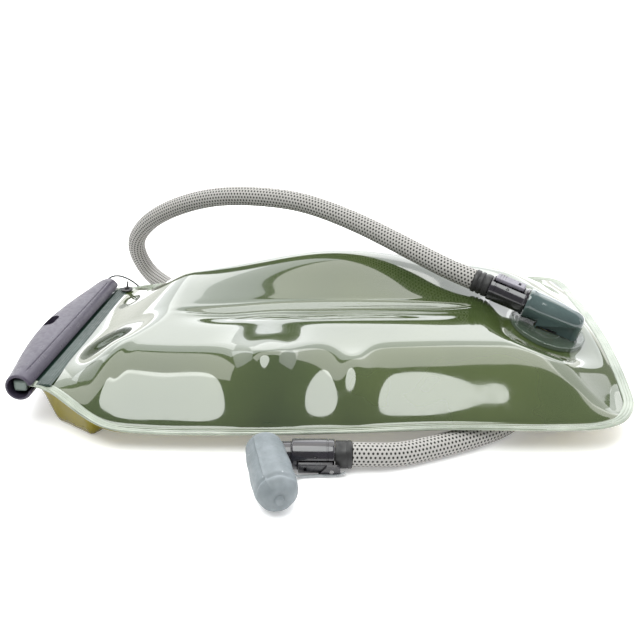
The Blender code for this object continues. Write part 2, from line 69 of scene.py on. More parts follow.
FRONT_EDGE = [
    (-158, -65, 27), (-150, -66, 26), (-137, -74, 22), (-125, -82, 18), (-112, -87, 14),
    (-90, -88, 12), (-30, -88, 12), (17, -87, 13), (69, -86, 15), (125, -86, 15),
    (150, -85, 16), (163, -79, 17), (171, -66, 19),
]
REAR_EDGE = [
    (-147, 85, 18), (-138, 86, 18), (-120, 90, 19), (-95, 95, 20), (-50, 97, 22),
    (0, 98, 24), (60, 98, 24), (110, 98, 24), (148, 97, 24), (161, 95, 24), (168, 87, 24),
]
END_EDGE = [(171, -66, 19), (174, -35, 20), (175, 5, 22), (173, 45, 23), (168, 87, 24)]
HOSE_ROUTE = [
    (73, 23, 63), (48, 39, 71), (17, 58, 80), (-15, 74, 86), (-49, 86, 86), (-78, 97, 81),
    (-108, 111, 68), (-129, 124, 52), (-140, 133, 35), (-139, 138, 19), (-132, 136, 8.5),
    (-122, 125, 6.5), (-104, 104, 6.4), (-80, 80, 6.4), (-45, 55, 6.4), (-5, 36, 6.4),
    (35, 24, 6.4), (70, 17, 6.4), (98, 4, 6.4), (115, -18, 6.4), (116, -44, 6.4),
    (103, -66, 6.4), (82, -80, 6.4), (58, -91, 6.4), (42, -97.5, 6.8), (27, -100.4, 8.4),
]
TETHER_ROUTE = [
    (-151.9, 89.3, 23.4), (-149.5, 93.5, 23.8), (-145, 97, 22.6), (-138, 101, 17.1),
    (-133.4, 104, 10.6), (-130.5, 106, 5.5), (-129.5, 108, 2.0), (-131.5, 111, 0.8),
    (-138, 113, 0.8), (-148, 108, 0.8), (-148, 99, 0.8), (-139, 95, 1.0), (-130, 101, 1.6),
    (-133, 109, 3.0), (-142, 108, 3.2), (-143, 100, 6), (-140, 94, 14), (-138, 89, 21.5),
    (-137, 84.5, 22.8), (-136.6, 81, 21.8), (-136.5, 79.2, 19.4),
]


# --- Mesh helpers ----------------------------------------------------------------------------

def link(obj):
    bpy.context.scene.collection.objects.link(obj)
    return obj


def frame_at(origin, z_axis, x_hint):
    z = Vector(z_axis).normalized()
    x = Vector(x_hint)
    x = (x - z * x.dot(z)).normalized()
    matrix = Matrix((x, z.cross(x), z)).transposed().to_4x4()
    matrix.translation = (Vector(origin) + SHIFT) * MM
    return matrix


def placed(points):
    """List coordinates in millimetres as metres about the model's origin."""
    return (points + np.array(SHIFT)) * MM


def grid_mesh(name, points, wrap=False, uv=None):
    """A mesh over an array of points (rows, columns, 3) in metres, row by row."""
    rows, cols = points.shape[:2]
    index = np.arange(rows * cols).reshape(rows, cols)
    right = np.roll(index, -1, axis=1) if wrap else index[:, 1:]
    left = index if wrap else index[:, :-1]
    quads = np.stack([left[:-1], left[1:], right[1:], right[:-1]], axis=-1).reshape(-1, 4)
    mesh = bpy.data.meshes.new(name)
    mesh.vertices.add(rows * cols)
    mesh.vertices.foreach_set("co", points.astype(np.float32).ravel())
    mesh.loops.add(quads.size)
    mesh.loops.foreach_set("vertex_index", quads.astype(np.int32).ravel())
    mesh.polygons.add(len(quads))
    mesh.polygons.foreach_set("loop_start", np.arange(0, quads.size, 4, dtype=np.int32))
    mesh.polygons.foreach_set("loop_total", np.full(len(quads), 4, np.int32))
    mesh.update(calc_edges=True)
    mesh.polygons.foreach_set("use_smooth", np.ones(len(quads), bool))
    if uv is not None:
        layer = mesh.uv_layers.new(name="UVMap")
        corner = np.stack([uv[:-1, :-1], uv[1:, :-1], uv[1:, 1:], uv[:-1, 1:]], axis=2)
        layer.data.foreach_set("uv", corner.reshape(-1, 2).astype(np.float32).ravel())
    mesh.validate()
    return mesh


def close_ends(mesh):
    """Fills a tube's two open ends."""
    bm = bmesh.new()
    bm.from_mesh(mesh)
    bmesh.ops.holes_fill(bm, edges=[e for e in bm.edges if e.is_boundary], sides=0)
    bmesh.ops.recalc_face_normals(bm, faces=bm.faces)
    bm.to_mesh(mesh)
    bm.free()


def close_seams(mesh):
    """Joins the points of a tube's seam and of its pointed caps."""
    bm = bmesh.new()
    bm.from_mesh(mesh)
    bmesh.ops.remove_doubles(bm, verts=bm.verts, dist=1e-6)
    bmesh.ops.recalc_face_normals(bm, faces=bm.faces)
    bm.to_mesh(mesh)
    bm.free()


def new_object(name, mesh, material, matrix=None):
    obj = link(bpy.data.objects.new(name, mesh))
    if material is not None:
        mesh.materials.append(material)
    if matrix is not None:
        obj.matrix_world = matrix
    return obj


def raised(points, by):
    """A profile moved up its axis."""
    return [(r, z + by) for r, z in points]


def turned(name, profile, matrix, material=None, steps=96, ring=False):
    """A turned piece about the frame's Z, from (radius, height) pairs listed top to bottom."""
    bm = bmesh.new()
    verts = [bm.verts.new((r * MM, 0, z * MM)) for r, z in profile]
    pairs = list(zip(verts, verts[1:])) + ([(verts[-1], verts[0])] if ring else [])
    edges = [bm.edges.new(p) for p in pairs]
    bmesh.ops.spin(bm, geom=verts + edges, cent=(0, 0, 0), axis=(0, 0, 1), angle=math.tau,
                   steps=steps, use_merge=True, use_duplicate=False)
    bmesh.ops.remove_doubles(bm, verts=bm.verts, dist=1e-6)
    bmesh.ops.recalc_face_normals(bm, faces=bm.faces)
    mesh = bpy.data.meshes.new(name)
    bm.to_mesh(mesh)
    bm.free()
    obj = new_object(name, mesh, material, matrix)
    smooth(obj)
    return obj


def smooth(obj, sharp=35):
    """Shades an object smooth, with sharp edges past this many degrees (0 for none)."""
    for polygon in obj.data.polygons:
        polygon.use_smooth = True
    if sharp:
        obj.data.set_sharp_from_angle(angle=math.radians(sharp))


def box(name, size, matrix, material=None, centre=(0, 0, 0), bevel=0.0, segments=4):
    bm = bmesh.new()
    bmesh.ops.create_cube(bm, size=1.0)
    for vert in bm.verts:
        for axis in range(3):
            vert.co[axis] = (vert.co[axis] * size[axis] + centre[axis]) * MM
    if bevel:
        bmesh.ops.bevel(bm, geom=list(bm.edges), offset=bevel * MM, segments=segments,
                        profile=0.5, affect="EDGES")
    mesh = bpy.data.meshes.new(name)
    bm.to_mesh(mesh)
    bm.free()
    obj = new_object(name, mesh, material, matrix)
    smooth(obj)
    return obj


def cut(obj, other, operation="DIFFERENCE"):
    """Applies a Boolean straight away and removes the other piece."""
    step = obj.modifiers.new("Cut", "BOOLEAN")
    step.solver = "EXACT"
    step.operation = operation
    step.object = other
    bake(obj)
    bpy.data.objects.remove(other, do_unlink=True)
    return obj


def drill(host, radius, top, bottom, matrix, steps=96):
    """Cuts a round bore between two heights on a frame's Z."""
    profile = [(0, top), (radius, top), (radius, bottom), (0, bottom)]
    return cut(host, turned("drill", profile, matrix, steps=steps))


def bake(obj):
    """Applies an object's modifiers to its mesh."""
    bpy.context.view_layer.update()
    graph = bpy.context.evaluated_depsgraph_get()
    made = bpy.data.meshes.new_from_object(obj.evaluated_get(graph))
    obj.modifiers.clear()
    obj.data = made
    return obj


def stand_in(piece, node, body):
    """Puts a piece in place of a CAD node, on a body."""
    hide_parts(node)
    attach(piece, body)


def smoothstep(t):
    t = np.clip(t, 0.0, 1.0)
    return t * t * (3 - 2 * t)


def smooth_curve(route, samples, steps=24):
    """Points evenly spaced along a centripetal Catmull-Rom curve through the route."""
    route = np.array(route, float)
    ends = np.vstack([2 * route[0] - route[1], route, 2 * route[-1] - route[-2]])
    dense = []
    for i in range(1, len(ends) - 2):
        a, b, c, d = ends[i - 1:i + 3]
        knots = np.cumsum([0] + [max(np.linalg.norm(q - p), 1e-6) ** 0.5
                                 for p, q in ((a, b), (b, c), (c, d))])
        for t in np.linspace(knots[1], knots[2], steps, endpoint=False):
            ab = a + (b - a) * (t - knots[0]) / (knots[1] - knots[0])
            bc = b + (c - b) * (t - knots[1]) / (knots[2] - knots[1])
            cd = c + (d - c) * (t - knots[2]) / (knots[3] - knots[2])
            abc = ab + (bc - ab) * (t - knots[0]) / (knots[2] - knots[0])
            bcd = bc + (cd - bc) * (t - knots[1]) / (knots[3] - knots[1])
            dense.append(abc + (bcd - abc) * (t - knots[1]) / (knots[2] - knots[1]))
    dense.append(route[-1])
    dense = np.array(dense)
    along = np.concatenate([[0], np.cumsum(np.linalg.norm(np.diff(dense, axis=0), axis=1))])
    at = samples * along[-1] if isinstance(samples, np.ndarray) else \
        np.linspace(0, along[-1], samples)
    return np.stack([np.interp(at, along, dense[:, k]) for k in range(dense.shape[1])], axis=1)


def eased(points, passes=3):
    """Takes the small corners out of a dense curve and keeps its ends."""
    points = points.copy()
    for _ in range(passes):
        points[1:-1] = 0.25 * points[:-2] + 0.5 * points[1:-1] + 0.25 * points[2:]
    return points


def tube_frames(points):
    """Unit tangents and two steady side vectors along a curve."""
    tangent = np.gradient(points, axis=0)
    tangent /= np.linalg.norm(tangent, axis=1)[:, None]
    side = np.cross(tangent[0], [0, 0, 1.0])
    side /= np.linalg.norm(side)
    sides = [side]
    for t in tangent[1:]:
        side = sides[-1] - t * np.dot(sides[-1], t)
        sides.append(side / np.linalg.norm(side))
    sides = np.array(sides)
    return tangent, sides, np.cross(tangent, sides)


def tube(name, points, radius_of, around, material):
    """A closed tube: radius_of(along, angle) gives its radius in millimetres."""
    tangent, side, up = tube_frames(points)
    along = np.concatenate([[0], np.cumsum(np.linalg.norm(np.diff(points, axis=0), axis=1))])
    angle = np.linspace(0, math.tau, around + 1)
    radius = radius_of(along[:, None], angle[None, :])
    ring = (points[:, None] + radius[..., None] * (np.cos(angle)[None, :, None] * side[:, None]
                                                   + np.sin(angle)[None, :, None] * up[:, None]))
    caps = [np.repeat(end[:, None], around + 1, 1) for end in (points[:1], points[-1:])]
    shell = np.concatenate([caps[0], ring, caps[1]])
    a = np.concatenate([[along[0]], along, [along[-1]]])
    uv = np.stack(np.broadcast_arrays(a[:, None], angle[None] / math.tau), axis=-1)
    mesh = grid_mesh(name, placed(shell), uv=uv)
    close_seams(mesh)
    return new_object(name, mesh, material)


# --- Materials -------------------------------------------------------------------------------

class Look:
    """A Principled material built from nodes."""

    def __init__(self, name, **values):
        self.material = bpy.data.materials.new(name)
        self.material.use_nodes = True
        self.tree = self.material.node_tree
        self.shader = self.tree.nodes["Principled BSDF"]
        for socket, value in values.items():
            self.shader.inputs[socket.replace("_", " ")].default_value = value

    def node(self, kind, **settings):
        made = self.tree.nodes.new(kind)
        for key, value in settings.items():
            if key in made.inputs:
                made.inputs[key].default_value = value
            else:
                setattr(made, key, value)
        return made

    def join(self, source, target):
        self.tree.links.new(source, target)

    def math(self, operation, a, b=None):
        made = self.node("ShaderNodeMath", operation=operation)
        for slot, value in zip(made.inputs, (a, b)):
            if isinstance(value, (int, float)):
                slot.default_value = value
            elif value is not None:
                self.join(value, slot)
        return made.outputs[0]

    def coords(self):
        return self.node("ShaderNodeTexCoord").outputs["Object"]

    def noise(self, scale, detail=3.0):
        made = self.node("ShaderNodeTexNoise", Scale=scale, Detail=detail)
        self.join(self.coords(), made.inputs["Vector"])
        return made.outputs["Fac"]

    def ramp(self, source, stops):
        made = self.node("ShaderNodeValToRGB")
        elements = made.color_ramp.elements
        while len(elements) < len(stops):
            elements.new(0.5)
        for element, (at, colour) in zip(elements, stops):
            element.position = at
            element.color = (*colour, 1.0)
        self.join(source, made.inputs["Fac"])
        return made.outputs["Color"]

    def range(self, source, low, high, from_low=0.0, from_high=1.0):
        made = self.node("ShaderNodeMapRange", **{"From Min": from_low, "From Max": from_high,
                                                  "To Min": low, "To Max": high})
        self.join(source, made.inputs["Value"])
        return made.outputs["Result"]

    def mix(self, factor, a, b):
        made = self.node("ShaderNodeMix", data_type="RGBA")
        self.join(factor, made.inputs["Factor"])
        for slot, value in ((made.inputs[6], a), (made.inputs[7], b)):
            if isinstance(value, tuple):
                slot.default_value = (*value, 1.0)
            else:
                self.join(value, slot)
        return made.outputs[2]

    def bump(self, height, strength, distance):
        made = self.node("ShaderNodeBump", Strength=strength, Distance=distance)
        self.join(height, made.inputs["Height"])
        self.join(made.outputs["Normal"], self.shader.inputs["Normal"])

    def feed(self, socket, source):
        self.join(source, self.shader.inputs[socket])

    def colour(self, source, dark, light):
        self.feed("Base Color", self.ramp(source, [(0.3, dark), (0.7, light)]))

    def gloss(self, scale, low, high, detail=3.0):
        """Roughness that wanders between two values."""
        self.feed("Roughness", self.range(self.noise(scale, detail), low, high, 0.3, 0.7))


def moulded(name, dark, light, roughness, coat=0.0, bump=0.15, specular=0.5):
    """Moulded plastic: faint mottling, handling marks in the gloss, and a fine skin."""
    look = Look(name, Specular_IOR_Level=specular)
    if coat:
        look.shader.inputs["Coat Weight"].default_value = coat
        look.shader.inputs["Coat Roughness"].default_value = 0.06
    mottling, marks, grain = 90.0, 360.0, 1980.0
    look.colour(look.noise(mottling, 4.0), dark, light)
    look.gloss(marks, roughness * 0.75, roughness * 1.35, 6.0)
    look.bump(look.noise(grain, 2.0), bump, 0.00005)
    return look.material


def mouth_share(look, low, high):
    """1 at the closure, falling to 0 between these distances from it, in metres."""
    split = look.node("ShaderNodeSeparateXYZ")
    look.join(look.coords(), split.inputs[0])
    across = look.math("SUBTRACT", split.outputs[0],
                       look.math("MULTIPLY", split.outputs[1], 0.0769))
    return look.range(across, 1.0, 0.0, low, high)


def film_look(name, deep, pale, mouth, alpha, coat=0.8, ior=1.58):
    """Welded film: glossy and tinted, cloudy where it is thicker, darker along the closure."""
    look = Look(name, IOR=ior, Coat_Weight=coat, Coat_Roughness=0.02, Coat_IOR=1.55)
    cloud = look.noise(14.0, 3.0)
    tint = look.ramp(cloud, [(0.35, deep), (0.68, pale)])
    look.feed("Base Color", look.mix(mouth_share(look, -0.150, -0.139), tint, mouth))
    haze = look.noise(190.0, 5.0)
    look.feed("Roughness", look.range(haze, 0.05, 0.12, 0.35, 0.7))
    look.feed("Alpha", look.range(cloud, alpha - 0.02, alpha + 0.02, 0.3, 0.7))
    look.bump(look.noise(70.0, 2.0), 0.04, 0.0004)
    return look.material


film_green = film_look("film_green", (0.042, 0.063, 0.022), (0.058, 0.080, 0.024),
                       (0.010, 0.024, 0.018), 0.94)
film_olive = film_look("film_olive", (0.17, 0.14, 0.006), (0.22, 0.18, 0.010),
                       (0.16, 0.13, 0.008), 0.88, coat=0.0, ior=1.3)
satin_purple = moulded("satin_purple", (0.036, 0.030, 0.048), (0.048, 0.040, 0.062), 0.34,
                       bump=0.0, specular=0.3)
bead_look = moulded("bead_look", (0.10, 0.13, 0.115), (0.16, 0.20, 0.18), 0.3)
teal = moulded("smoked_teal", (0.048, 0.076, 0.076), (0.064, 0.098, 0.096), 0.12, coat=0.8,
               bump=0.03)
black_gloss = moulded("black_gloss", (0.008, 0.007, 0.010), (0.014, 0.012, 0.018), 0.16,
                      coat=0.6)
black_matte = moulded("black_matte", (0.010, 0.010, 0.010), (0.018, 0.018, 0.018), 0.5)
lever_grey = moulded("lever_grey", (0.11, 0.10, 0.125), (0.15, 0.14, 0.17), 0.3)
lever_black = moulded("lever_black", (0.012, 0.011, 0.014), (0.020, 0.018, 0.023), 0.24)
seal_rubber = moulded("seal_rubber", (0.012, 0.012, 0.012), (0.03, 0.03, 0.03), 0.6)
poppet_white = moulded("poppet_white", (0.38, 0.38, 0.35), (0.5, 0.5, 0.47), 0.4)
sleeve_grey = moulded("sleeve_grey", (0.10, 0.11, 0.12), (0.15, 0.16, 0.17), 0.38)


def clear_look():
    look = Look("clear_flange", IOR=1.5, Coat_Weight=0.6, Coat_Roughness=0.03)
    cloud = look.noise(120.0)
    look.colour(cloud, (0.075, 0.105, 0.080), (0.11, 0.145, 0.115))
    look.gloss(500.0, 0.07, 0.16)
    look.feed("Alpha", look.range(cloud, 0.42, 0.52, 0.3, 0.7))
    return look.material


def metal_look():
    look = Look("bright_steel", Metallic=1.0)
    look.colour(look.noise(400.0), (0.42, 0.42, 0.43), (0.6, 0.6, 0.61))
    look.gloss(1500.0, 0.22, 0.42)
    return look.material


def rubber_look(name, dark, light, wet=True):
    """Matte silicone rubber with fine speckle, fingerprints of dust and small wet specks, whose
    paler colour is a painted highlight (their gloss and bump are real).
    """
    look = Look(name, Roughness=0.62)
    mottled = look.ramp(look.noise(140.0, 4.0), [(0.32, dark), (0.68, light)])
    fine = look.noise(2400.0, 3.0)
    skin = look.noise(700.0, 4.0)
    cells = look.node("ShaderNodeTexVoronoi", Scale=260.0)
    look.join(look.coords(), cells.inputs["Vector"])
    speck = look.range(cells.outputs["Distance"], 1.0 if wet else 0.0, 0.0, 0.10, 0.16)
    rare = look.range(look.noise(60.0, 1.0), 0.0, 1.0, 0.56, 0.60)
    wet_speck_and_glint = look.math("MULTIPLY", speck, rare)
    # Painted highlight: the wet specks are mixed towards a pale grey; the roughness and bump they
    # get below are real.
    look.feed("Base Color", look.mix(look.math("MULTIPLY", wet_speck_and_glint, 0.55), mottled,
                                     (0.55, 0.58, 0.60)))
    rough = look.range(skin, 0.48, 0.7, 0.3, 0.7)
    look.feed("Roughness", look.math("SUBTRACT", rough, look.math("MULTIPLY", wet_speck_and_glint, 0.35)))
    height = look.math("ADD", look.math("MULTIPLY", fine, 0.25), look.math("MULTIPLY", wet_speck_and_glint, 1.5))
    look.bump(height, 0.5, 0.0001)
    return look.material


clear_flange = clear_look()
bright_steel = metal_look()
cover_rubber = rubber_look("cover_rubber", (0.145, 0.168, 0.180), (0.195, 0.220, 0.235))
strap_rubber = rubber_look("strap_rubber", (0.30, 0.32, 0.33), (0.38, 0.40, 0.41), wet=False)
bite_silicone = rubber_look("bite_silicone", (0.22, 0.34, 0.38), (0.30, 0.43, 0.47), wet=False)


# --- Camera, floor and light -----------------------------------------------------------------

LENS = 48.825  # mm on a 36 mm sensor
EYE = (0.0068, -0.476, 0.266)
PITCH, YAW = math.radians(26.0), math.radians(1.0)
WORLD_STRENGTH = 0.40

scene = bpy.context.scene
camera_data = bpy.data.cameras.new("camera")
camera = link(bpy.data.objects.new("camera", camera_data))
camera_data.sensor_width = 36.0
camera_data.lens = LENS
camera_data.clip_start = 0.01
forward = Vector((-math.sin(YAW) * math.cos(PITCH), math.cos(YAW) * math.cos(PITCH),
                  -math.sin(PITCH)))
right = Vector((math.cos(YAW), math.sin(YAW), 0.0))
camera.matrix_world = Matrix.Translation(EYE) @ Matrix(
    (right, right.cross(forward), -forward)).transposed().to_4x4()
scene.camera = camera
scene.view_settings.view_transform = "Standard"

world = bpy.data.worlds.new("studio")
scene.world = world
world.use_nodes = True
world.node_tree.nodes["Background"].inputs["Color"].default_value = (1.0, 1.0, 1.0, 1.0)
world.node_tree.nodes["Background"].inputs["Strength"].default_value = WORLD_STRENGTH

floor_look = Look("floor", Roughness=0.6, Emission_Color=(1.0, 1.0, 1.0, 1.0),
                  Emission_Strength=0.25)
floor_look.feed("Base Color", floor_look.ramp(floor_look.noise(3.0), [
    (0.0, (0.93, 0.93, 0.93)), (1.0, (0.95, 0.95, 0.95))]))
bpy.ops.mesh.primitive_plane_add(size=8.0, location=(0, 0, 0))
floor = bpy.context.object
floor.name = "floor"
floor.data.materials.append(floor_look.material)


def softbox(name, place_at, aim, width, height, radiance, tint=(1.0, 1.0, 1.0),
            shape="RECTANGLE"):
    """A flat light of this radiance, aimed at a point."""
    lamp = bpy.data.lights.new(name, "AREA")
    lamp.shape = shape
    lamp.size = width
    lamp.size_y = height
    lamp.energy = radiance * width * height * math.pi
    lamp.color = tint
    obj = link(bpy.data.objects.new(name, lamp))
    obj.location = place_at
    obj.rotation_mode = "QUATERNION"
    obj.rotation_quaternion = (Vector(aim) - Vector(place_at)).to_track_quat("-Z", "Y")


softbox("rear", (-0.1, 1.61, 1.04), (0, 0, 0.03), 3.4, 1.69, 2.2, (0.94, 0.96, 1.0))
softbox("right_rear", (1.60, 0.55, 0.85), (0.1, 0, 0.03), 1.5, 1.4, 1.7, (0.96, 0.96, 1.0))
softbox("top", (-0.15, 0.45, 1.57), (0, 0, 0.03), 3.2, 0.90, 2.5, (1.0, 0.99, 0.96))
softbox("front", (-0.17, -0.44, 1.28), (-0.04, 0, 0.03), 1.10, 1.0, 4.6, (0.97, 1.0, 0.98),
        "ELLIPSE")
softbox("horizon", (0, 2.4, 0.27), (0, 0, 0.1), 4.2, 0.5, 1.3, (1.0, 0.99, 0.96))
softbox("left_rear", (-1.90, 0.9, 0.75), (-0.1, 0, 0.03), 1.3, 1.5, 1.5, (0.94, 0.96, 1.0))
softbox("side", (1.25, -0.55, 0.55), (0.05, 0, 0.03), 0.20, 0.7, 4.0)
softbox("backdrop", (0, 3.2, 1.9), (0, 3.2, 0), 4.0, 2.2, 1.6)

# --- Frames ----------------------------------------------------------------------------------

closure_along = (CLOSURE_REAR - CLOSURE_FRONT).normalized()
closure_length = (CLOSURE_REAR - CLOSURE_FRONT).length
closure_bagward = (Vector((1, 0, 0)) - closure_along * closure_along.x).normalized()
closure_frame = frame_at(CLOSURE_FRONT, closure_along, closure_bagward)
port_side = Vector((0.371, 0.928, 0.0)).normalized()
port_normal = port_side.cross(PORT_AXIS).normalized()
if port_normal.z < 0:
    port_normal = -port_normal
flange_frame = frame_at(PORT_BASE, port_normal, PORT_AXIS)
bore_frame = frame_at(PORT_BASE + port_normal * PORT_HEIGHT, PORT_AXIS, port_normal)
valve_frame = frame_at((0.0, VALVE_Y, VALVE_Z), (1, 0, 0), (0, -0.92, -0.39))
cover_frame = frame_at(COVER_REAR, COVER_AXIS, (0, 0, 1))

# --- Hose ------------------------------------------------------------------------------------

hose_start = PORT_BASE + port_normal * PORT_HEIGHT + PORT_AXIS * 51.3
hose_end = Vector((17.7, VALVE_Y, VALVE_Z))
hose_keys = [tuple(hose_start), tuple(hose_start + PORT_AXIS * 9)] + HOSE_ROUTE + [
    tuple(hose_end)]
hose_line = eased(smooth_curve(hose_keys, 1900, 60), 340)
ROWS_AROUND = 18  # rows of pits round the sleeve
DOT_PITCH = 2.15  # from one pit of a row to the next
PIT_ALONG, PIT_ACROSS = 1.35, 1.15  # a pit's narrowness along and across its row
PIT_DEPTH = 0.34


def hose_radius(along, angle):
    """The sleeve: a woven surface with a pit at every second crossing."""
    across = angle / math.tau * ROWS_AROUND
    row = np.floor(across)
    step = along / DOT_PITCH + 0.5 * (row % 2)
    dot = np.hypot((step - np.floor(step) - 0.5) * PIT_ALONG, (across - row - 0.5) * PIT_ACROSS)
    pit = smoothstep((0.40 - dot) / 0.2)
    slack = 0.10 * np.sin(along / 19.0) * np.sin(2 * angle + along / 31.0)
    return HOSE_DIAMETER / 2 - 0.02 - PIT_DEPTH * pit + slack * 0.6


def woven_look():
    """Two greys of thread, with a dark pit at the same crossings as in hose_radius."""
    look = Look("woven_sleeve", Roughness=0.85)
    split = look.node("ShaderNodeSeparateXYZ")
    look.join(look.node("ShaderNodeTexCoord").outputs["UV"], split.inputs[0])
    along, round_share = split.outputs[0], split.outputs[1]
    across = look.math("MULTIPLY", round_share, ROWS_AROUND)
    row = look.math("FLOOR", across)
    odd = look.math("MULTIPLY", look.math("MODULO", row, 2.0), 0.5)
    step = look.math("ADD", look.math("DIVIDE", along, DOT_PITCH), odd)

    def from_middle(share, narrowness):
        return look.math("MULTIPLY", look.math("SUBTRACT", look.math("FRACT", share), 0.5),
                         narrowness)

    du, dv = from_middle(step, PIT_ALONG), from_middle(across, PIT_ACROSS)
    reach = look.math("SQRT", look.math("ADD", look.math("MULTIPLY", du, du),
                                        look.math("MULTIPLY", dv, dv)))
    dots = look.range(reach, 1.0, 0.0, 0.30, 0.42)
    strand = look.math("SINE", look.math("MULTIPLY", look.math(
        "ADD", along, look.math("MULTIPLY", across, 1.9)), 9.0))
    thread = look.mix(look.range(strand, 0.0, 1.0, -1.0, 1.0),
                      (0.30, 0.29, 0.275), (0.44, 0.43, 0.41))
    look.feed("Base Color", look.mix(dots, thread, (0.015, 0.014, 0.013)))
    look.bump(look.math("ADD", strand, look.noise(2600.0, 2.0)), 0.35, 0.00008)
    return look.material


hose = tube("hose_sleeve", hose_line, hose_radius, 126, woven_look())
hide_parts("drinking_hose")

# --- Tether ----------------------------------------------------------------------------------

TETHER_DIAMETER = 1.2
tether_look = Look("tether_cord_look", Roughness=0.7)
tether_look.feed("Base Color", tether_look.ramp(tether_look.noise(900.0), [
    (0.35, (0.010, 0.010, 0.011)), (0.7, (0.035, 0.035, 0.037))]))
tether_look.bump(tether_look.noise(2500.0), 0.4, 0.0001)
tether_line = eased(smooth_curve(TETHER_ROUTE, 420, 40), 10)
tether = tube("tether", tether_line,
              lambda along, angle: TETHER_DIAMETER / 2 + 0.03 * np.sin(along * 5 + angle * 2),
              14, tether_look.material)
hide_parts("tether_cord")

# --- Bag -------------------------------------------------------------------------------------

FINE = 40  # steps between two points of an edge list


def coons(u, v):
    """The weld surface stretched over the bag's four edges: x, y and height at (u, v)."""
    front = smooth_curve(FRONT_EDGE, u, FINE)
    rear = smooth_curve(REAR_EDGE, u, FINE)
    end = smooth_curve(END_EDGE, v, FINE)
    near, far = np.array(FRONT_EDGE[0], float), np.array(REAR_EDGE[0], float)
    mouth = near + v[:, None] * (far - near)
    uu, vv = u[:, None, None], v[None, :, None]
    sides = (1 - vv) * front[:, None] + vv * rear[:, None]
    ends = (1 - uu) * mouth[None] + uu * end[None]
    corners = ((1 - uu) * ((1 - vv) * near + vv * far)
               + uu * ((1 - vv) * front[-1] + vv * rear[-1]))
    return sides + ends - corners


def outline():
    """The bag's welded outline from the closure round the front, end and rear, with its corners
    rounded."""
    edge = np.vstack([smooth_curve(FRONT_EDGE, 420, FINE)[:-1],
                      smooth_curve(END_EDGE, 190, FINE)[:-1],
                      smooth_curve(REAR_EDGE, 420, FINE)[::-1]])
    return eased(edge, 60)


def inward_of(edge):
    """Unit vectors in plan that point from the outline into the bag."""
    tangent = np.gradient(edge[:, :2], axis=0)
    tangent /= np.linalg.norm(tangent, axis=1)[:, None]
    return np.stack([-tangent[:, 1], tangent[:, 0]], axis=1)


def drawn_inside(grid):
    """Moves the grid's points that lie outside the rounded outline onto it."""
    edge = outline()
    inward = inward_of(edge)
    for corner in ((171, -66), (168, 87), (150, -85), (163, 95)):
        near = np.hypot(grid[..., 0] - corner[0], grid[..., 1] - corner[1]) < 30
        points = grid[near]
        gaps = np.hypot(points[:, None, 0] - edge[:, 0], points[:, None, 1] - edge[:, 1])
        nearest = gaps.argmin(axis=1)
        foot = edge[nearest]
        depth = ((points[:, :2] - foot[:, :2]) * inward[nearest]).sum(axis=1)
        short = np.maximum(0.6 - depth, 0)
        points[:, :2] += inward[nearest] * short[:, None]
        grid[near] = points
    return grid


def plan_gap(line, x, y):
    """How far each point of a grid is, in plan, from the nearest point of a line."""
    gaps = np.empty_like(x)
    for i in range(x.shape[0]):
        gaps[i] = np.hypot(x[i][:, None] - line[:, 0], y[i][:, None] - line[:, 1]).min(axis=1)
    return gaps


def edge_gaps(x, y):
    """The gaps to the front, rear and end edges."""
    return [plan_gap(smooth_curve(edge, 900, FINE), x, y)
            for edge in (FRONT_EDGE, REAR_EDGE, END_EDGE)]


def mouth_distance(x, y):
    along = np.array(closure_along[:2])
    across_x, across_y = along[1] / np.linalg.norm(along), -along[0] / np.linalg.norm(along)
    return (x - CLOSURE_FRONT.x) * across_x + (y - CLOSURE_FRONT.y) * across_y


def bell(x, centre, width):
    return np.exp(-((x - centre) / width) ** 2)


def upper_height(x, y, weld):
    """The upper film: a pillow with a rear lobe, a lengthways crease, a ridge above the bite
    valve with a pinch at the weld, and a flat seat under the port."""
    front, rear, end = edge_gaps(x, y)
    steep = 46 - 21 * bell(x, -29, 15) - 13 * bell(x, 18, 10)
    side = 1.0
    for gap, reach in ((front, steep), (rear, 46), (end, 50)):
        side = side * np.sin(np.pi / 2 * np.clip((gap - WELD_WIDTH) / reach, 0, 1)) ** 0.85
    opening = smoothstep((mouth_distance(x, y) - 9.0) / (62 - 24 * smoothstep((10 - y) / 70)))
    window = smoothstep((100 - abs(x - 6)) / 40)
    rise = (24.0
            + 16.0 * np.exp(-((x - 12) / 78) ** 2 - ((y - 48) / 34) ** 2)
            - 2.2 * bell(y, -3, 9) * window
            + 8.0 * bell(x, -29, 20) * bell(y, -60, np.where(y < -60, 20, 40))
            + 3.0 * bell(x, 18, 12) * bell(y, -68, 14)
            - 7.0 * smoothstep((x - 100) / 60))
    crease = (-1.5 * bell(y, 2 + 0.01 * x, 1.5) + 0.6 * bell(y, 5.4, 2.0)
              + 0.4 * bell(y, -2.2, 2.0)) * window
    crease += 0.5 * bell(y, -8 + 0.02 * x + 1.2 * np.sin(x / 15), 1.6) * smoothstep(
        (62 - abs(x - 6)) / 25)
    pinch = (-3.0 * bell(x, -19.5, 2.6) + 1.6 * bell(x, -25, 3.4) + 1.3 * bell(x, -13.5, 3.0)) \
        * smoothstep((-66 - y) / 16)
    ripple = 0.35 * np.sin(x / 6.3 + y / 17) * bell(y, -74, 12) * smoothstep((120 - abs(x)) / 40)
    height = weld + WELD_GAP / 2 + (rise + crease + pinch + ripple) * side * opening
    away = np.hypot(x - PORT_BASE.x, y - PORT_BASE.y)
    seat = (PORT_BASE.z - (port_normal.x * (x - PORT_BASE.x) + port_normal.y * (y - PORT_BASE.y))
            / port_normal.z)
    share = 1 - smoothstep((away - 24) / 22)
    nearest = np.minimum(np.minimum(front, rear), end)
    return height + (seat - height) * share * smoothstep((nearest - WELD_WIDTH) / 9)


